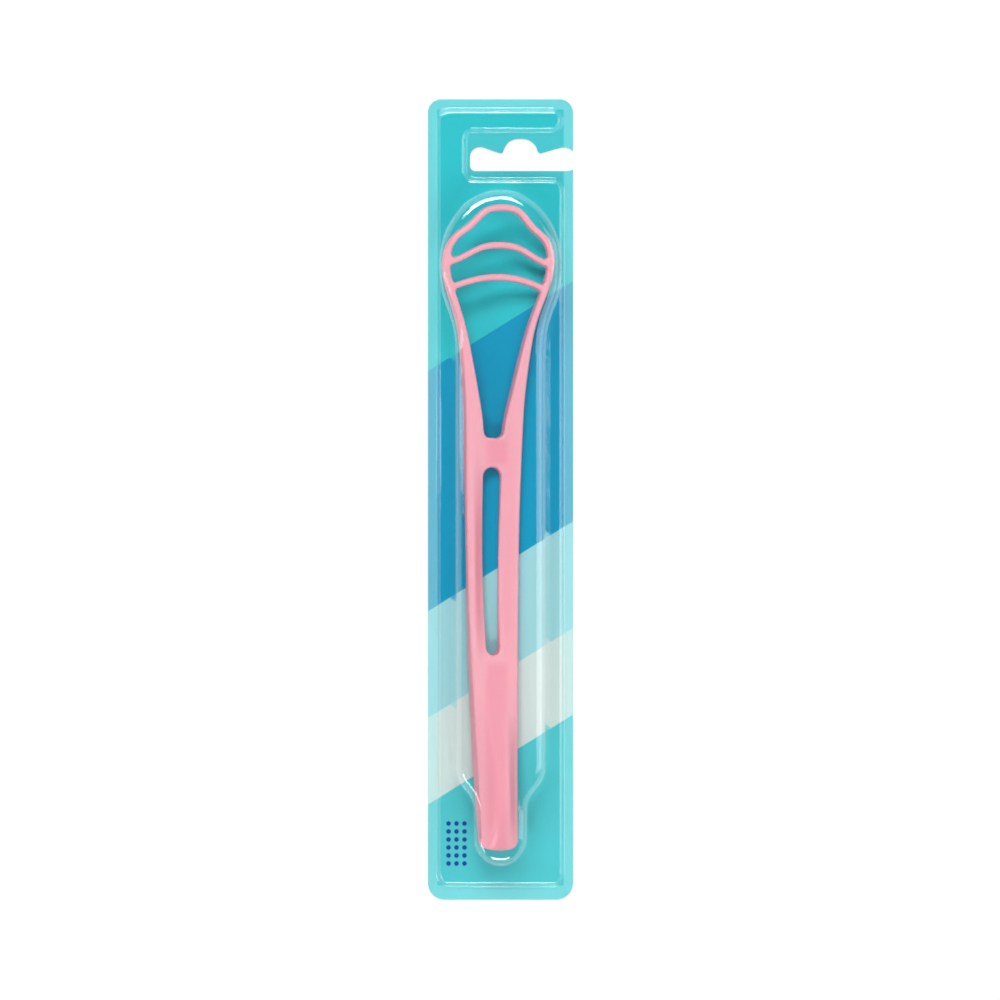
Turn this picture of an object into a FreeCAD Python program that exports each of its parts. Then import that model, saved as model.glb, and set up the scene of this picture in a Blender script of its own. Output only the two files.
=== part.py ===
import FreeCAD, Part
import math
import os

from FreeCAD import Vector

# Tongue scraper in its retail pack. Millimetres. X is across the pack, Y runs up to the hang slot,
# Z points away from the card. The back of the card lies at Z = 0 and the pack is centred on the Z axis.

# Scraper: lengths from the tail to the tip of the front blade
GRIP_LENGTH = 57.7
SLOT_LENGTH = 56.0
BRIDGE_LENGTH = 8.8
FORK_LENGTH = 51.3
TIP_LENGTH = 17.6

# Scraper: widths
TAIL_WIDTH = 11.4
GRIP_WIDTH = 14.8
NECK_WIDTH = 17.9
HEAD_WIDTH = 34.8
SLOT_TOP_WIDTH = 5.8
SLOT_FOOT_WIDTH = 4.3
FORK_FOOT_WIDTH = 6.6
ARM_WIDTH = 2.0
BLADE_WIDTH = 1.9

# Scraper: thicknesses, side curve and crown
TAIL_THICKNESS = 4.8
GRIP_THICKNESS = 6.0
NECK_THICKNESS = 5.6
HEAD_THICKNESS = 3.0
TIP_RISE = 9.8
TAIL_RISE = 6.2
HANDLE_CROWN = 1.9
HEAD_CROWN = 1.2

# Scraper: blades, corners and sunken web
MIDDLE_BLADE_AHEAD = 0.4
MIDDLE_BLADE_RISE = 5.3
REAR_BLADE_BEHIND = 7.2
REAR_BLADE_RISE = 3.5
TAIL_BOW = 0.9
TAIL_CORNER = 2.6
BLADE_CORNER = 1.1
EDGE_RADIUS = 0.75
WEB_DEPTH = 2.2
TAIL_WEB_DEPTH = 1.0

# Where the scraper lies in the pack
ROLL = 19.0
SEAT_GAP = 0.3
SIDE_SHIFT = -0.6

# Card, flange and hang slot
CARD_THICKNESS = 0.45
SHEET = 0.35
FLANGE_SIDE = 2.8
FLANGE_TOP = 3.0
FLANGE_FOOT = 4.2
PACK_TOP_CORNER = 4.0
PACK_FOOT_CORNER = 5.0
HANG_REACH = 15.15
HANG_OPEN_REACH = 16.9
HANG_HEIGHT = 9.65
HANG_LOBE_HEIGHT = 8.4
HANG_CUSP_HEIGHT = 5.1
HANG_CUSP_REACH = 5.4
HANG_HUMP_REACH = 4.0
HANG_OFFSET = 6.0
HANG_LOBE_RADIUS = 3.0
HANG_FOOT_RADIUS = 1.6
HANG_OPEN_LOBE_RADIUS = 4.0
HANG_OPEN_FOOT_RADIUS = 2.8
HANG_CUSP_RADIUS = 0.9
HANG_HUMP_RADIUS = 4.6

# Blister: raised step with its bead around the hang slot
STEP_HEIGHT = 2.0
STEP_DRAFT = 0.5
STEP_CORNER = 3.8
STEP_EDGE = 1.0
STEP_ROOT = 0.8
BEAD_WIDTH = 6.75
BEAD_CORNER = 2.6
BEAD_END_GAP = 3.3
HANG_MARGIN_BELOW = 2.4
HANG_MARGIN_LEFT = 1.2
HANG_MARGIN_ABOVE = 2.1

# Blister: cavity over the scraper
HEAD_SIDE_GAP = 0.85
HEAD_SIDE_DRAFT = 0.2
BODY_WIDTH = 30.6
BODY_DRAFT = 2.4
NOSE_WIDTH = 17.6
NOSE_DRAFT = 1.0
CAVITY_TOP_GAP = 6.4
CAVITY_FOOT_GAP = 5.1
CAVITY_TOP_DRAFT = 2.6
CAVITY_ROOF_GAP = 0.6
CAVITY_EDGE = 3.0
CAVITY_STEP_GAP = 0.2
LEDGE_TOP = 2.4
LEDGE_FOOT = 6.6
WAIST_BELOW_HEAD = 27.0
NOSE_TURN_LENGTH = 13.0
NOSE_LENGTH = 8.0
NOSE_ROUND = 9.0

OVERRUN = 1.0
SLACK = 0.001

# Outline of the fork: share of its length, share of the way from neck to head, share of neck rail left
FORK_SHARES = [(0.22, 0.04, 0.66), (0.45, 0.18, 0.27), (0.68, 0.43, 0.0), (0.86, 0.82, 0.0)]
# Outline of the front blade: share of the tip length, share of half the head width
TIP_SHARES = [(0.40, 0.905), (0.53, 0.79), (0.66, 0.615), (0.80, 0.475), (0.945, 0.30)]
# Middle and rear blades: share of the half span, share of the rise
BELL_SHARES = [(-1.0, 0.0), (-0.66, 0.37), (-0.33, 0.87), (0.0, 1.0), (0.33, 0.87), (0.66, 0.37), (1.0, 0.0)]
BOW_SHARES = [(-1.0, 0.0), (0.0, 1.0), (1.0, 0.0)]
# Foot of the fork's opening: share of its half width out, share of its half width up
FOOT_SHARES = [(0.5, 0.03), (0.85, 0.27), (1.0, 0.85)]
# Top of the handle in section: share of its half width, share of the web's depth
TOP_SHARES = [(1.0, 0.0), (0.72, 0.0), (0.36, 0.85), (0.0, 1.0), (-0.36, 0.85), (-0.72, 0.0), (-1.0, 0.0)]
GRIP_WAIST_SHARE = 0.52
GRIP_WAIST_WIDTH_SHARE = 0.42
LOW_POINT_SHARE = 0.47

# Places along the scraper
SLOT_FOOT = GRIP_LENGTH
SLOT_TOP = SLOT_FOOT + SLOT_LENGTH
FORK_FOOT = SLOT_TOP + BRIDGE_LENGTH
SHOULDER = FORK_FOOT + FORK_LENGTH
LENGTH = SHOULDER + TIP_LENGTH
LOW_POINT = LENGTH * LOW_POINT_SHARE
NECK_RAIL = NECK_WIDTH / 2 - FORK_FOOT_WIDTH / 2

# Places in the pack
CARD_FRONT = CARD_THICKNESS
HEAD_HALF = HEAD_WIDTH / 2 + HEAD_SIDE_GAP
STEP_HALF = HEAD_HALF + CAVITY_STEP_GAP + STEP_DRAFT
PACK_HALF = STEP_HALF + FLANGE_SIDE
SURROUND = HANG_MARGIN_BELOW + HANG_HEIGHT + HANG_MARGIN_ABOVE
ABOVE_CAVITY = FLANGE_TOP + BEAD_WIDTH + SURROUND + LEDGE_TOP
BELOW_CAVITY = LEDGE_FOOT + FLANGE_FOOT
CAVITY_LENGTH = CAVITY_TOP_GAP + LENGTH + CAVITY_FOOT_GAP
PACK_HEIGHT = ABOVE_CAVITY + CAVITY_LENGTH + BELOW_CAVITY
PACK_TOP = PACK_HEIGHT / 2
PACK_FOOT = -PACK_TOP
CAVITY_FOOT = PACK_FOOT + BELOW_CAVITY
CAVITY_TOP = CAVITY_FOOT + CAVITY_LENGTH
TAIL_Y = CAVITY_FOOT + CAVITY_FOOT_GAP
STEP_FOOT = PACK_FOOT + FLANGE_FOOT
STEP_TOP = PACK_TOP - FLANGE_TOP
MAIN_TOP = CAVITY_TOP + LEDGE_TOP
BEAD_FOOT = STEP_TOP - BEAD_WIDTH
HANG_Y = MAIN_TOP + HANG_MARGIN_BELOW
SURROUND_LEFT = HANG_OFFSET - HANG_REACH - HANG_MARGIN_LEFT


def prism(wire, low, high):
    """Solid between two heights with an upright outline."""
    solid = Part.Face(wire).extrude(Vector(0, 0, high - low))
    solid.translate(Vector(0, 0, low))
    return solid


def spline(points, closed=False):
    """Smooth edge through points."""
    curve = Part.BSplineCurve()
    curve.interpolate(Points=points, PeriodicFlag=closed)
    return curve.toShape()


def flipped(points):
    """Points on the other side of the middle line, in reverse order."""
    return [Vector(-point.x, point.y) for point in reversed(points)]


def inset_corner(before, corner, after, inset):
    """Corner of an anticlockwise outline moved inward, with its rounding changed to suit."""
    a = (Vector(*corner[:2]) - Vector(*before[:2])).normalize()
    b = (Vector(*after[:2]) - Vector(*corner[:2])).normalize()
    turn = a.x * b.y - a.y * b.x
    move = (b - a) * (inset / turn)
    radius = corner[2] - math.copysign(inset, turn)
    return Vector(*corner[:2]) + move, a, b, radius


def rounded(corners, inset=0.0):
    """Closed wire of straight sides and round corners given as (x, y, radius), anticlockwise."""
    arcs = []
    for i, corner in enumerate(corners):
        after = corners[(i + 1) % len(corners)]
        point, a, b, radius = inset_corner(corners[i - 1], corner, after, inset)
        half_turn = a.getAngle(b) / 2
        reach = radius * math.tan(half_turn)
        bulge = radius * (1 / math.cos(half_turn) - 1)
        inward = (b - a).normalize()
        arcs.append((point - a * reach, point + inward * bulge, point + b * reach))
    edges = []
    for i, arc in enumerate(arcs):
        if arc[0].distanceToPoint(arcs[i - 1][2]) > SLACK:
            edges.append(Part.LineSegment(arcs[i - 1][2], arc[0]).toShape())
        edges.append(Part.Arc(*arc).toShape())
    return Part.Wire(edges)


# Scraper

def rail_points():
    """Points on the right side from the neck to the tip, each with the rail's width there."""
    points = [(Vector(NECK_WIDTH / 2, FORK_FOOT + FORK_FOOT_WIDTH / 2), NECK_RAIL)]
    for along_share, spread_share, rail_share in FORK_SHARES:
        outer = NECK_WIDTH / 2 + spread_share * (HEAD_WIDTH - NECK_WIDTH) / 2
        rail = ARM_WIDTH + rail_share * (NECK_RAIL - ARM_WIDTH)
        points.append((Vector(outer, FORK_FOOT + along_share * FORK_LENGTH), rail))
    points.append((Vector(HEAD_WIDTH / 2, SHOULDER), ARM_WIDTH))
    for along_share, width_share in TIP_SHARES:
        point = Vector(HEAD_WIDTH / 2 * width_share, SHOULDER + TIP_LENGTH * along_share)
        points.append((point, BLADE_WIDTH))
    return points


def outer_side():
    """Curve up the scraper's right side, over the tip and down its left side."""
    waist = TAIL_WIDTH / 2 + GRIP_WAIST_WIDTH_SHARE * (GRIP_WIDTH - TAIL_WIDTH) / 2
    right = [Vector(TAIL_WIDTH / 2, TAIL_BOW), Vector(waist, GRIP_LENGTH * GRIP_WAIST_SHARE)]
    right.append(Vector(GRIP_WIDTH / 2, SLOT_FOOT))
    right += [point for point, rail in rail_points()]
    return spline(right + [Vector(0, LENGTH)] + flipped(right))


def outer_wire():
    """Outline of the whole scraper: tail, handle, fork and front blade."""
    tail = Part.Arc(Vector(-TAIL_WIDTH / 2, TAIL_BOW), Vector(), Vector(TAIL_WIDTH / 2, TAIL_BOW))
    return Part.Wire([outer_side(), tail.toShape()])


def fork_opening_wire():
    """Outline of the space inside the fork: parallel to the outside at the rail's width."""
    side = outer_side().Curve
    half = FORK_FOOT_WIDTH / 2
    right = [Vector(half * x_share, FORK_FOOT + half * y_share) for x_share, y_share in FOOT_SHARES]
    for point, rail in rail_points()[1:]:
        along = Vector(*side.tangent(side.parameter(point))[0])
        right.append(point + Vector(-along.y, along.x) * rail)
    foot, tip = Vector(0, FORK_FOOT), Vector(0, LENGTH - BLADE_WIDTH)
    return Part.Wire([spline([foot] + right + [tip] + flipped(right), True)])


def slot_wire():
    """Outline of the long slot in the handle: two round ends and the straight sides that touch both."""
    foot, top = SLOT_FOOT_WIDTH / 2, SLOT_TOP_WIDTH / 2
    low, high = Vector(0, SLOT_FOOT + foot), Vector(0, SLOT_TOP - top)
    lean = math.asin((top - foot) / (high.y - low.y))
    out = Vector(math.cos(lean), -math.sin(lean))
    right = [low + out * foot, high + out * top]
    left = flipped(right)
    round_top = Part.Arc(right[1], Vector(0, SLOT_TOP), left[0])
    round_foot = Part.Arc(left[1], Vector(0, SLOT_FOOT), right[0])
    edges = [Part.LineSegment(*right), round_top, Part.LineSegment(*left), round_foot]
    return Part.Wire([edge.toShape() for edge in edges])


def blade_wire(seat, rise, shares):
    """Outline of a cross blade whose ends run into the arms."""
    across = Part.LineSegment(Vector(0, seat), Vector(HEAD_WIDTH, seat)).toShape()
    half = outer_side().distToShape(across)[1][0][0].x - ARM_WIDTH / 2
    middle = [Vector(half * x_share, seat + rise * y_share) for x_share, y_share in shares]
    lift = Vector(0, BLADE_WIDTH / 2)
    front = [point + lift for point in middle]
    back = [point - lift for point in middle]
    edges = [spline(front), Part.LineSegment(front[-1], back[-1]).toShape()]
    edges += [spline(back), Part.LineSegment(back[0], front[0]).toShape()]
    return Part.Wire(Part.__sortEdges__(edges))


def side_height(y):
    """Height of the scraper's middle line: two arcs that meet at its lowest point."""
    rise, run = (TIP_RISE, LENGTH - LOW_POINT) if y > LOW_POINT else (TAIL_RISE, LOW_POINT)
    radius = (run * run + rise * rise) / (2 * rise)
    return radius - math.sqrt(radius * radius - (y - LOW_POINT) ** 2)


def section_wire(y, width, thickness, web, top_crown, under_crown):
    """Cross-section of the scraper's side form: crowned above and below, with a sunken web along the top."""
    half = width / 2 + OVERRUN
    top = side_height(y) + thickness / 2
    under = side_height(y) - thickness / 2
    above = []
    for x_share, web_share in TOP_SHARES:
        above.append(Vector(half * x_share, y, top - top_crown * x_share * x_share - web * web_share))
    below = [Vector(-half, y, under + under_crown), Vector(0, y, under), Vector(half, y, under + under_crown)]
    edges = [spline(above), Part.LineSegment(above[-1], below[0]).toShape()]
    edges += [Part.Arc(*below).toShape(), Part.LineSegment(below[2], above[0]).toShape()]
    return Part.Wire(edges)


def side_form():
    """Curved bar that gives the scraper its thickness, crown and side curve."""
    neck = (SLOT_TOP + FORK_FOOT) / 2
    fork = (FORK_FOOT + SHOULDER) / 2
    fork_thickness = (NECK_THICKNESS + HEAD_THICKNESS) / 2
    fork_width = (NECK_WIDTH + HEAD_WIDTH) / 2
    sections = [
        section_wire(-OVERRUN, TAIL_WIDTH, TAIL_THICKNESS, TAIL_WEB_DEPTH, HANDLE_CROWN, HANDLE_CROWN / 2),
        section_wire(SLOT_FOOT, GRIP_WIDTH, GRIP_THICKNESS, WEB_DEPTH, HANDLE_CROWN, HANDLE_CROWN / 2),
        section_wire(neck, NECK_WIDTH, NECK_THICKNESS, WEB_DEPTH, HANDLE_CROWN, HANDLE_CROWN / 2),
        section_wire(fork, fork_width, fork_thickness, 0, HEAD_CROWN, -HEAD_CROWN / 2),
        section_wire(SHOULDER, HEAD_WIDTH, HEAD_THICKNESS, 0, HEAD_CROWN, -HEAD_CROWN),
        section_wire(LENGTH + OVERRUN, HEAD_WIDTH, HEAD_THICKNESS, 0, HEAD_CROWN, -HEAD_CROWN),
    ]
    return Part.makeLoft(sections, True, False)


def upright_edges(solid, keep):
    """Straight edges along Z whose ends are at places that keep() accepts."""
    found = []
    for edge in solid.Edges:
        a, b = edge.firstVertex().Point, edge.lastVertex().Point
        if abs(a.x - b.x) + abs(a.y - b.y) < SLACK and keep(a):
            found.append(edge)
    return found


def plan_form(low, high):
    """Upright block with the scraper's outline, blades and openings."""
    opening = prism(fork_opening_wire(), low, high)
    middle = prism(blade_wire(SHOULDER + MIDDLE_BLADE_AHEAD, MIDDLE_BLADE_RISE, BELL_SHARES), low, high)
    rear = prism(blade_wire(SHOULDER - REAR_BLADE_BEHIND, REAR_BLADE_RISE, BOW_SHARES), low, high)
    block = prism(outer_wire(), low, high).cut(opening).fuse([middle, rear]).removeSplitter()
    block = block.makeFillet(TAIL_CORNER, upright_edges(block, lambda p: p.y < GRIP_LENGTH / 2))
    corners = upright_edges(block, lambda p: p.y > FORK_FOOT + FORK_LENGTH / 2 and abs(p.x) > ARM_WIDTH)
    block = block.makeFillet(BLADE_CORNER, corners)
    return block.cut(prism(slot_wire(), low, high))


def round_edges(body):
    """Body with every edge rounded except the upright ones."""
    upright = [edge.hashCode() for edge in upright_edges(body, lambda p: True)]
    return body.makeFillet(EDGE_RADIUS, [edge for edge in body.Edges if edge.hashCode() not in upright])


def make_scraper():
    """One-piece scraper, rolled to the side as it lies in the pack."""
    low = -GRIP_THICKNESS
    high = TIP_RISE + TAIL_RISE + GRIP_THICKNESS
    body = round_edges(side_form().common(plan_form(low, high)).Solids[0])
    body.rotate(Vector(), Vector(0, 1, 0), ROLL)
    box = body.optimalBoundingBox(False)
    body.translate(Vector(SIDE_SHIFT - box.Center.x, TAIL_Y, CARD_FRONT + SEAT_GAP - box.ZMin))
    return body


# Card and blister

def pack_wire():
    """Outline of the card and of the blister's flange."""
    foot = [(-PACK_HALF, PACK_FOOT, PACK_FOOT_CORNER), (PACK_HALF, PACK_FOOT, PACK_FOOT_CORNER)]
    top = [(PACK_HALF, PACK_TOP, PACK_TOP_CORNER), (-PACK_HALF, PACK_TOP, PACK_TOP_CORNER)]
    return rounded(foot + top)


def hang_wire():
    """Outline of the hang slot, whose right end runs out through the side of the pack."""
    left, right = HANG_OFFSET - HANG_REACH, HANG_OFFSET + HANG_OPEN_REACH
    lobe, cusp, hump = HANG_Y + HANG_LOBE_HEIGHT, HANG_Y + HANG_CUSP_HEIGHT, HANG_Y + HANG_HEIGHT
    corners = [(left, HANG_Y, HANG_FOOT_RADIUS), (right, HANG_Y, HANG_OPEN_FOOT_RADIUS)]
    corners += [(right, lobe, HANG_OPEN_LOBE_RADIUS), (HANG_OFFSET + HANG_CUSP_REACH, cusp, HANG_CUSP_RADIUS)]
    corners += [(HANG_OFFSET + HANG_HUMP_REACH, hump, HANG_HUMP_RADIUS)]
    corners += [(HANG_OFFSET - HANG_HUMP_REACH, hump, HANG_HUMP_RADIUS)]
    corners += [(HANG_OFFSET - HANG_CUSP_REACH, cusp, HANG_CUSP_RADIUS), (left, lobe, HANG_LOBE_RADIUS)]
    return rounded(corners)


def step_wire(inset):
    """Outline of the raised step: a panel with a bead that hooks round the hang slot."""
    end, end_radius = PACK_HALF - BEAD_END_GAP, BEAD_WIDTH / 2
    corners = [(-STEP_HALF, STEP_FOOT, STEP_CORNER), (STEP_HALF, STEP_FOOT, STEP_CORNER)]
    corners += [(STEP_HALF, MAIN_TOP, STEP_CORNER), (SURROUND_LEFT, MAIN_TOP, BEAD_CORNER)]
    corners += [(SURROUND_LEFT, BEAD_FOOT, BEAD_CORNER), (end, BEAD_FOOT, end_radius)]
    corners += [(end, STEP_TOP, end_radius), (-STEP_HALF, STEP_TOP, STEP_CORNER)]
    return rounded(corners, inset)


def half_ellipse(half, middle, tip):
    """Half of an ellipse across the pack, from its right end over the tip to its left end."""
    top = Part.Ellipse(Vector(0, tip), Vector(-half, middle), Vector(0, middle))
    return Part.ArcOfEllipse(top, -math.pi / 2, math.pi / 2).toShape()


def bend(x, y, to_x, to_y):
    """S-shaped edge that starts and ends along Y."""
    middle = (y + to_y) / 2
    curve = Part.BezierCurve()
    curve.setPoles([Vector(x, y), Vector(x, middle), Vector(to_x, middle), Vector(to_x, to_y)])
    return curve.toShape()


def cavity_wire(side, body_side, nose_side, end):
    """Outline of the cavity: round head, straight body and round nose, with the given insets."""
    head, body, nose = HEAD_HALF - side, BODY_WIDTH / 2 - body_side, NOSE_WIDTH / 2 - nose_side
    head_y = TAIL_Y + SHOULDER
    waist_y = head_y - WAIST_BELOW_HEAD
    round_y = CAVITY_FOOT + NOSE_ROUND
    nose_y = round_y + NOSE_LENGTH
    turn_y = nose_y + NOSE_TURN_LENGTH
    left = [bend(-head, head_y, -body, waist_y)]
    left.append(Part.LineSegment(Vector(-body, waist_y), Vector(-body, turn_y)).toShape())
    left.append(bend(-body, turn_y, -nose, nose_y))
    left.append(Part.LineSegment(Vector(-nose, nose_y), Vector(-nose, round_y)).toShape())
    right = [Part.LineSegment(Vector(nose, round_y), Vector(nose, nose_y)).toShape()]
    right.append(bend(nose, nose_y, body, turn_y))
    right.append(Part.LineSegment(Vector(body, turn_y), Vector(body, waist_y)).toShape())
    right.append(bend(body, waist_y, head, head_y))
    top = half_ellipse(head, head_y, CAVITY_TOP - end)
    foot = half_ellipse(-nose, round_y, CAVITY_FOOT + nose_side)
    return Part.Wire([top] + left + [foot] + right)


def drafted(foot_wire, top_wire, low, high, radius):
    """Solid that narrows from one outline to the other, with a rounded rim."""
    foot_wire.translate(Vector(0, 0, low))
    top_wire.translate(Vector(0, 0, high))
    solid = Part.makeLoft([foot_wire, top_wire], True, True)
    rim = [edge for edge in solid.Edges if edge.BoundBox.ZMin > (low + high) / 2]
    return solid.makeFillet(radius, rim)


def step_solid(inset, height):
    """Raised step of the blister, or the hollow under it."""
    return drafted(step_wire(inset), step_wire(inset + STEP_DRAFT), CARD_FRONT, height, STEP_EDGE - inset)


def cavity_solid(inset, height):
    """Dome of the blister, or the hollow under it."""
    foot = cavity_wire(inset, inset, inset, inset)
    draft = (HEAD_SIDE_DRAFT, BODY_DRAFT, NOSE_DRAFT, CAVITY_TOP_DRAFT)
    top = cavity_wire(*[inset + each for each in draft])
    return drafted(foot, top, CARD_FRONT, height, CAVITY_EDGE - inset)


def rooted(body):
    """Flange and step with a rounded root where the step rises from the flange."""
    flat = CARD_FRONT + SHEET
    root = []
    for edge in body.Edges:
        box = edge.BoundBox
        level = abs(box.ZMin - flat) + abs(box.ZMax - flat) < SLACK
        inside = max(-box.XMin, box.XMax) < PACK_HALF - SLACK and max(-box.YMin, box.YMax) < PACK_TOP - SLACK
        if level and inside:
            root.append(edge)
    return body.makeFillet(STEP_ROOT, root)


def make_card():
    """Backing card with its hang slot."""
    return prism(pack_wire(), 0, CARD_FRONT).cut(prism(hang_wire(), 0, CARD_FRONT)).Solids[0]


def make_blister(roof):
    """Clear shell: flange, step and dome of one sheet, with the hang slot cut through."""
    step = CARD_FRONT + STEP_HEIGHT
    flange = prism(pack_wire(), CARD_FRONT, CARD_FRONT + SHEET)
    outside = rooted(flange.fuse(step_solid(0, step + SHEET))).fuse(cavity_solid(0, roof + SHEET))
    inside = step_solid(SHEET, step).fuse(cavity_solid(SHEET, roof))
    shell = outside.cut(inside)
    return shell.cut(prism(hang_wire(), CARD_FRONT, CARD_FRONT + SHEET)).Solids[0]


os.makedirs("parts", exist_ok=True)
scraper = make_scraper()
scraper.exportStep("parts/scraper.step")
make_card().exportStep("parts/backing_card.step")
roof = scraper.optimalBoundingBox(False).ZMax + CAVITY_ROOF_GAP
make_blister(roof).exportStep("parts/blister.step")
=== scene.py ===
import bpy
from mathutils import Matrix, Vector


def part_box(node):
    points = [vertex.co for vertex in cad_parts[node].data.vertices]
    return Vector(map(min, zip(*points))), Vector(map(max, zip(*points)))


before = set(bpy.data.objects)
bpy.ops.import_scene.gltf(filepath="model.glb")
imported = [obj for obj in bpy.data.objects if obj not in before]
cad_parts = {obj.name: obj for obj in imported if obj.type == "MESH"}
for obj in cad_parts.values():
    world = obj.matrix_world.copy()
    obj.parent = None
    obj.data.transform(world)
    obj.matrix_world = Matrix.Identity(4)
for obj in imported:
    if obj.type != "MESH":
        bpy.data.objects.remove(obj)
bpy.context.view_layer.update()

# Sizes and places in metres: X across the pack, Y up to the hang slot, Z off the card
CARD_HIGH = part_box("backing_card")[1]
PACK_HALF = CARD_HIGH.x
PACK_TOP = CARD_HIGH.y
SEAL_GAP = 0.00001
FLOOR_GAP = 0.0003
FLOOR_SIZE = 6.0

# Camera: straight above, so that the picture is VIEW_WIDTH wide at the card
VIEW_WIDTH = 0.300
VIEW_DISTANCE = 1.0
VIEW_CENTRE = (-0.00015, -0.00015)
SENSOR_WIDTH = 36.0

# Lamps: name, direction from the pack, width and height in metres, power in watts
LAMP_DISTANCE = 0.9
LAMPS = (
    ("key", (-0.10, 0.63, 1.00), (0.42, 0.26), 5.2),
    ("foot_fill", (0.00, -0.75, 0.90), (0.40, 0.22), 3.2),
    ("corner_glint", (-0.60, -0.50, 0.90), (0.28, 0.28), 1.4),
    ("left_glint", (-0.90, 0.05, 0.70), (0.06, 0.90), 0.4),
    ("right_fill", (0.85, 0.10, 0.75), (0.60, 1.20), 3.6),
)

# Room: dim as light, with walls and table that are white to the camera and in reflections.
# WALL_EDGE is the upright share of the direction in which the walls end and the dark ceiling starts.
ROOM_LIGHT = 0.05
WALL_EDGE = (0.45, 0.75)
TABLE_GLOW = 0.6

# Colours in linear light: moulding, print, bare board, clear sheet and table
PINK = (0.915, 0.425, 0.500, 1)
DEEP_PINK = (0.900, 0.385, 0.465, 1)
# Painted shade: deeper pink in the sunken web
WEB_SHADE_PINK = (0.880, 0.335, 0.425, 1)
# Painted shade: deeper pink down the steep flanks
FLANK_SHADE_PINK = (0.900, 0.280, 0.380, 1)
FOOT_TEAL = (0.085, 0.590, 0.635, 1)
TOP_TEAL = (0.014, 0.530, 0.585, 1)
BLUE = (0.000, 0.320, 0.530, 1)
NAVY = (0.008, 0.060, 0.330, 1)
AQUA = (0.335, 0.670, 0.710, 1)
PALE = (0.620, 0.760, 0.725, 1)
# Painted light: lighter print under the sealed flange
FLANGE_LIGHT = (0.450, 1.000, 1.000, 1)
BOARD = (0.700, 0.690, 0.660, 1)
BOARD_FIBRE = (0.560, 0.545, 0.510, 1)
SEAL_HAZE = (0.900, 1.000, 1.000, 1)
SHEET_TINT = (0.992, 0.997, 0.997, 1)
TABLE = (0.900, 0.900, 0.900, 1)
WHITE = (1, 1, 1, 1)

# Ground counts as flat where the square of its upright share lies between these
FLAT_GROUND = (0.998, 0.9995)

# Thin web between the handle's rails, below the slot and in the bridge above it, where a deeper pink is
# painted shade
WEB_SIDES = (-0.0042, 0.0019)
WEB_TOP = -0.0490
WEB_SOFT = 0.0014
BRIDGE = (0.0105, 0.0180)

# Painted shade down the steep flanks of the moulding: upright share of their direction from full deeper
# pink to none
FLANK_FACING = (0.30, 0.85)
FLANK_SHADE_SHARE = 0.6

# Skin of the moulding: flow marks, fine grain and the depth that light reaches
FLOW_SCALE = 55.0
FLOW_DETAIL = 3.0
SKIN_SCALE = 2600.0
SKIN_SPREAD = (0.3, 0.7)
SKIN_ROUGHNESS = (0.27, 0.36)
SKIN_STRENGTH = 0.05
SKIN_DEPTH = 0.00004
MOULDING_IOR = 1.49
GLOW_SHARE = 0.35
GLOW_SPREAD = (1.0, 0.5, 0.45)
GLOW_DEPTH = 0.0025

# Clear sheet: ripple, shine and the haze of the seal, which fades above the flange
RIPPLE_SCALE = 130.0
RIPPLE_STRENGTH = 0.07
RIPPLE_DEPTH = 0.0006
SHEET_ROUGHNESS = 0.05
LEAST_SHINE = 0.05
SHINE_POWER = 5.0
HAZE_FOOT = CARD_HIGH.z + 0.0004
HAZE_RISE = 0.0006
SEALED_HAZE = 0.020
FORMED_HAZE = 0.002
HAZE_ROUGHNESS = 0.35

# Print: slanted bands from the foot up, as heights at the middle of the card
BAND_SLOPE = 0.62
BANDS = ((-0.078, -0.052, PALE), (-0.052, -0.020, AQUA), (-0.020, 0.052, BLUE))
INK_EDGE = 0.00012
INK_ROUGHNESS = 0.22
# Painted light: a lighter border of print under the sealed flange, where the card is lit more than under
# the formed sheet
BORDER_SIDE = 0.0028
BORDER_TOP = 0.0030
BORDER_FOOT = 0.0042
FLANGE_LIGHT_SHARE = 0.25
DOT_SPACING = 0.0024
DOT_RADIUS = 0.0007
DOT_EDGE_SHARE = 0.2
DOT_LOW = (-0.0168, -0.1104)
DOT_HIGH = (-0.0096, -0.0960)

# Bare board: fibres, and the upright share above which a face is the printed front
FIBRE_SCALE = 1400.0
FIBRE_DETAIL = 4.0
FIBRE_ROUGHNESS = 0.7
FIBRE_SPREAD = (0.35, 0.7)
FIBRE_STRENGTH = 0.03
FIBRE_DEPTH = 0.00005
BOARD_ROUGHNESS = 0.8
FRONT_FACING = (0.4, 0.6)


# Shader maths

class Field:
    """A number or colour that varies over a surface: an output socket with arithmetic."""

    def __init__(self, finish, socket):
        self.finish = finish
        self.socket = socket

    def math(self, operation, *values):
        return self.finish.node("Math", {"operation": operation}, dict(enumerate(values)))

    def __add__(self, other):
        return self.math("ADD", self, other)

    def __radd__(self, other):
        return self.math("ADD", other, self)

    def __sub__(self, other):
        return self.math("SUBTRACT", self, other)

    def __rsub__(self, other):
        return self.math("SUBTRACT", other, self)

    def __mul__(self, other):
        return self.math("MULTIPLY", self, other)

    def __rmul__(self, other):
        return self.math("MULTIPLY", other, self)

    def __truediv__(self, other):
        return self.math("DIVIDE", self, other)

    def fract(self):
        return self.math("FRACT", self)

    def power(self, exponent):
        return self.math("POWER", self, exponent)

    def ramp(self, low, high, low_value=0.0, high_value=1.0):
        """Smooth climb from one value to another between two values of this field."""
        sockets = {
            "Value": self,
            "From Min": low,
            "From Max": high,
            "To Min": low_value,
            "To Max": high_value,
        }
        return self.finish.node("MapRange", {"interpolation_type": "SMOOTHSTEP"}, sockets)

    def band(self, low, high, soft):
        """1 between two values of this field, 0 outside."""
        return self.ramp(low - soft, low + soft) * self.ramp(high - soft, high + soft, 1.0, 0.0)


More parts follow.
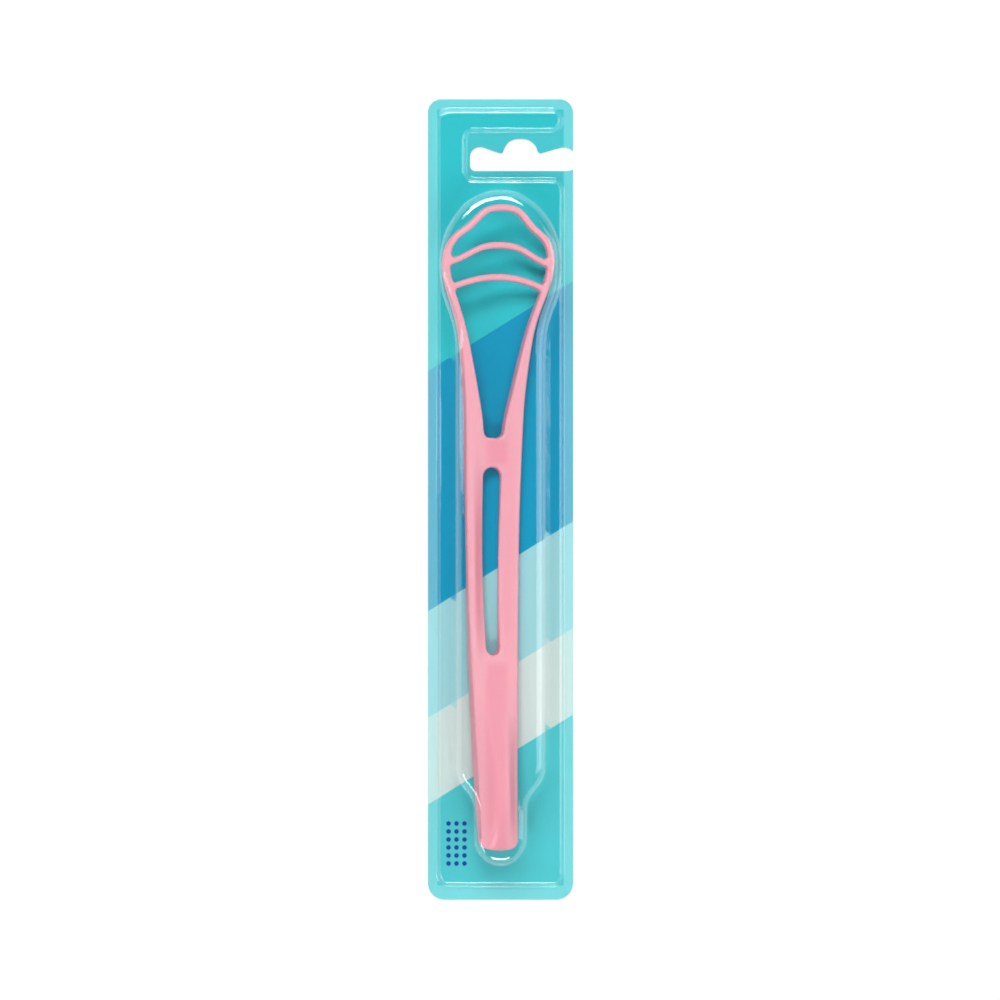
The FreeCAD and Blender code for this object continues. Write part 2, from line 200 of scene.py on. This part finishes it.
class Finish:
    """Node tree of a material or of the world."""

    def __init__(self, owner):
        self.owner = owner
        owner.use_nodes = True
        self.tree = owner.node_tree
        self.tree.nodes.clear()

    def node(self, kind, settings, sockets, output=0):
        """Adds a node: its settings first, then a value or link for each socket. Gives one output."""
        node = self.tree.nodes.new("ShaderNode" + kind)
        for name, value in settings.items():
            setattr(node, name, value)
        for name, value in sockets.items():
            if isinstance(value, Field):
                self.tree.links.new(value.socket, node.inputs[name])
            else:
                node.inputs[name].default_value = value
        return Field(self, node.outputs[output]) if node.outputs else None

    def place(self):
        """Place on the piece, in metres."""
        return self.node("TexCoord", {}, {}, "Object")

    def axes(self, vector):
        return [self.node("SeparateXYZ", {}, {"Vector": vector}, axis) for axis in "XYZ"]

    def upright(self):
        """How far the surface faces away from the card: 1 straight off it, 0 sideways, -1 behind."""
        return self.axes(self.node("TexCoord", {}, {}, "Normal"))[2]

    def noise(self, place, scale, detail=2.0, roughness=0.5):
        sockets = {"Vector": place, "Scale": scale, "Detail": detail, "Roughness": roughness}
        return self.node("TexNoise", {}, sockets, "Fac")

    def mix(self, share, first, second):
        """First colour where share is 0, second where it is 1."""
        return self.node("Mix", {"data_type": "RGBA"}, {0: share, 6: first, 7: second}, 2)

    def even_normal(self):
        """Direction for shading: the facet's own on flat ground, the smooth one on curves."""
        own = self.node("NewGeometry", {}, {}, "True Normal")
        smooth = self.node("NewGeometry", {}, {}, "Normal")
        rise = self.axes(own)[2]
        flat = (rise * rise).ramp(*FLAT_GROUND)
        return self.node("Mix", {"data_type": "VECTOR"}, {0: flat, 4: smooth, 5: own}, 1)

    def bump(self, height, strength, distance):
        sockets = {
            "Height": height,
            "Strength": strength,
            "Distance": distance,
            "Normal": self.even_normal(),
        }
        return self.node("Bump", {}, sockets)

    def blend(self, share, first, second):
        """First shader where share is 0, second where it is 1."""
        return self.node("MixShader", {}, {0: share, 1: first, 2: second})

    def seen(self):
        """1 for what the camera sees straight, in a reflection or through clear sheet."""
        seen = self.node("LightPath", {}, {}, "Is Camera Ray")
        for ray in ("Is Glossy Ray", "Is Transmission Ray"):
            seen = seen.math("MAXIMUM", seen, self.node("LightPath", {}, {}, ray))
        return seen

    def done(self, surface, output="OutputMaterial"):
        self.node(output, {}, {"Surface": surface})
        return self.owner


# Materials

def pink_moulding():
    """Satin polypropylene: uneven pink with a fine skin, and painted shade: deeper pink in the sunken web
    and down the steep flanks.
    """
    finish = Finish(bpy.data.materials.new("pink_moulding"))
    place = finish.place()
    flow = finish.noise(place, FLOW_SCALE, FLOW_DETAIL)
    skin = finish.noise(place, SKIN_SCALE)
    x, y = finish.axes(place)[:2]
    # Painted shade: the sunken web below the slot and in the bridge is deeper pink
    along = y.ramp(WEB_TOP - WEB_SOFT, WEB_TOP + WEB_SOFT, 1.0, 0.0) + y.band(*BRIDGE, WEB_SOFT)
    web_shade = x.band(*WEB_SIDES, WEB_SOFT) * along
    # Painted shade: the steep flanks turn deeper pink the more they face sideways
    flank_shade = finish.upright().ramp(*FLANK_FACING, FLANK_SHADE_SHARE, 0.0)
    colour = finish.mix(flank_shade, finish.mix(flow, PINK, DEEP_PINK), FLANK_SHADE_PINK)
    sockets = {
        "Base Color": finish.mix(web_shade, colour, WEB_SHADE_PINK),
        "Roughness": skin.ramp(*SKIN_SPREAD, *SKIN_ROUGHNESS),
        "IOR": MOULDING_IOR,
        "Subsurface Weight": GLOW_SHARE,
        "Subsurface Radius": GLOW_SPREAD,
        "Subsurface Scale": GLOW_DEPTH,
        "Normal": finish.bump(skin, SKIN_STRENGTH, SKIN_DEPTH),
    }
    return finish.done(finish.node("BsdfPrincipled", {}, sockets))


def clear_sheet():
    """Thermoformed clear sheet with a faint ripple, a little hazy where it is sealed to the card."""
    finish = Finish(bpy.data.materials.new("clear_sheet"))
    place = finish.place()
    height = finish.axes(place)[2]
    normal = finish.bump(finish.noise(place, RIPPLE_SCALE), RIPPLE_STRENGTH, RIPPLE_DEPTH)
    clear = finish.node("BsdfTransparent", {}, {"Color": SHEET_TINT})
    gloss = finish.node("BsdfGlossy", {}, {"Color": WHITE, "Roughness": SHEET_ROUGHNESS, "Normal": normal})
    slant = finish.node("LayerWeight", {}, {"Blend": 0.5, "Normal": normal}, "Facing")
    shine = LEAST_SHINE + (1.0 - LEAST_SHINE) * slant.power(SHINE_POWER)
    sheet = finish.blend(shine, clear, gloss)
    haze = height.ramp(HAZE_FOOT, HAZE_FOOT + HAZE_RISE, SEALED_HAZE, FORMED_HAZE)
    milk = finish.node("BsdfPrincipled", {}, {"Base Color": SEAL_HAZE, "Roughness": HAZE_ROUGHNESS})
    return finish.done(finish.blend(haze, sheet, milk))


def dots(x, y):
    """1 on round dots in rows, within one patch of the print, 0 elsewhere."""
    across = (x / DOT_SPACING).fract() - 0.5
    along = (y / DOT_SPACING).fract() - 0.5
    rim = (DOT_RADIUS / DOT_SPACING) ** 2
    inside = (1.0 - DOT_EDGE_SHARE) * rim
    outside = (1.0 + DOT_EDGE_SHARE) * rim
    disc = (across * across + along * along).ramp(inside, outside, 1.0, 0.0)
    return disc * x.band(DOT_LOW[0], DOT_HIGH[0], INK_EDGE) * y.band(DOT_LOW[1], DOT_HIGH[1], INK_EDGE)


def print_ink(finish, x, y):
    """Colour of the printed front: slanted bands and a patch of dots, with painted light: a lighter border
    under the sealed flange.
    """
    slant = y - BAND_SLOPE * x
    ink = finish.mix(y.ramp(-PACK_TOP, PACK_TOP), FOOT_TEAL, TOP_TEAL)
    for low, high, colour in BANDS:
        ink = finish.mix(slant.band(low, high, INK_EDGE), ink, colour)
    ink = finish.mix(dots(x, y), ink, NAVY)
    panel = x.band(BORDER_SIDE - PACK_HALF, PACK_HALF - BORDER_SIDE, INK_EDGE)
    panel = panel * y.band(BORDER_FOOT - PACK_TOP, PACK_TOP - BORDER_TOP, INK_EDGE)
    # Painted light: lighter outside the panel, under the sealed flange
    return finish.mix((1.0 - panel) * FLANGE_LIGHT_SHARE, ink, FLANGE_LIGHT)


def printed_board():
    """Coated board: printed in front, bare behind and at the cut edges."""
    finish = Finish(bpy.data.materials.new("printed_board"))
    place = finish.place()
    x, y = finish.axes(place)[:2]
    fibre = finish.noise(place, FIBRE_SCALE, FIBRE_DETAIL, FIBRE_ROUGHNESS)
    board = finish.mix(fibre.ramp(*FIBRE_SPREAD), BOARD, BOARD_FIBRE)
    front = finish.upright().ramp(*FRONT_FACING)
    sockets = {
        "Base Color": finish.mix(front, board, print_ink(finish, x, y)),
        "Roughness": front.ramp(0.0, 1.0, BOARD_ROUGHNESS, INK_ROUGHNESS),
        "Normal": finish.bump(fibre, FIBRE_STRENGTH, FIBRE_DEPTH),
    }
    return finish.done(finish.node("BsdfPrincipled", {}, sockets))


def white_table():
    """White studio table that keeps a light shadow."""
    finish = Finish(bpy.data.materials.new("white_table"))
    paper = finish.node("BsdfDiffuse", {}, {"Color": TABLE})
    glow = finish.node("Emission", {}, {"Color": WHITE, "Strength": 1.0})
    return finish.done(finish.blend(finish.seen() * TABLE_GLOW, paper, glow))


# Scene

def dress(node, material):
    """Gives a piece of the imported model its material."""
    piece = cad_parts[node]
    piece.data.materials.clear()
    piece.data.materials.append(material)


def part_seal():
    """Draws the card in by a hair, so that its print and the sheet sealed on it don't share one plane."""
    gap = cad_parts["backing_card"].modifiers.new("seal_gap", "DISPLACE")
    gap.strength = -SEAL_GAP
    gap.mid_level = 0.0


def make_table():
    """Large white table under the card."""
    bpy.ops.mesh.primitive_plane_add(size=FLOOR_SIZE, location=(0, 0, -FLOOR_GAP))
    table = bpy.context.object
    table.name = "studio_table"
    table.data.materials.append(white_table())


def soft_box(name, direction, size, power):
    """Rectangular studio lamp that looks at the middle of the pack."""
    data = bpy.data.lights.new(name, "AREA")
    data.shape = "RECTANGLE"
    data.size, data.size_y = size
    data.energy = power
    lamp = bpy.data.objects.new(name, data)
    bpy.context.scene.collection.objects.link(lamp)
    way = Vector(direction).normalized()
    lamp.location = way * LAMP_DISTANCE
    lamp.rotation_euler = way.to_track_quat("Z", "Y").to_euler()


def make_world():
    """Dim room around the lamps, with walls that are white to the camera and in reflections."""
    world = bpy.data.worlds.new("studio")
    bpy.context.scene.world = world
    finish = Finish(world)
    rise = finish.axes(finish.node("TexCoord", {}, {}, "Generated"))[2]
    walls = rise.ramp(*WALL_EDGE, 1.0 - ROOM_LIGHT, 0.0)
    level = ROOM_LIGHT + finish.seen() * walls
    room = finish.node("Background", {}, {"Color": WHITE, "Strength": level})
    finish.done(room, "OutputWorld")


def make_camera():
    """Camera straight above the pack, with the hang slot at the top of the picture."""
    data = bpy.data.cameras.new("camera")
    data.sensor_width = SENSOR_WIDTH
    data.lens = SENSOR_WIDTH * VIEW_DISTANCE / VIEW_WIDTH
    camera = bpy.data.objects.new("camera", data)
    bpy.context.scene.collection.objects.link(camera)
    camera.location = (VIEW_CENTRE[0], VIEW_CENTRE[1], CARD_HIGH.z + VIEW_DISTANCE)
    bpy.context.scene.camera = camera


dress("scraper", pink_moulding())
dress("blister", clear_sheet())
dress("backing_card", printed_board())
part_seal()
make_table()
for lamp in LAMPS:
    soft_box(*lamp)
make_world()
make_camera()
bpy.context.scene.view_settings.view_transform = "Standard"
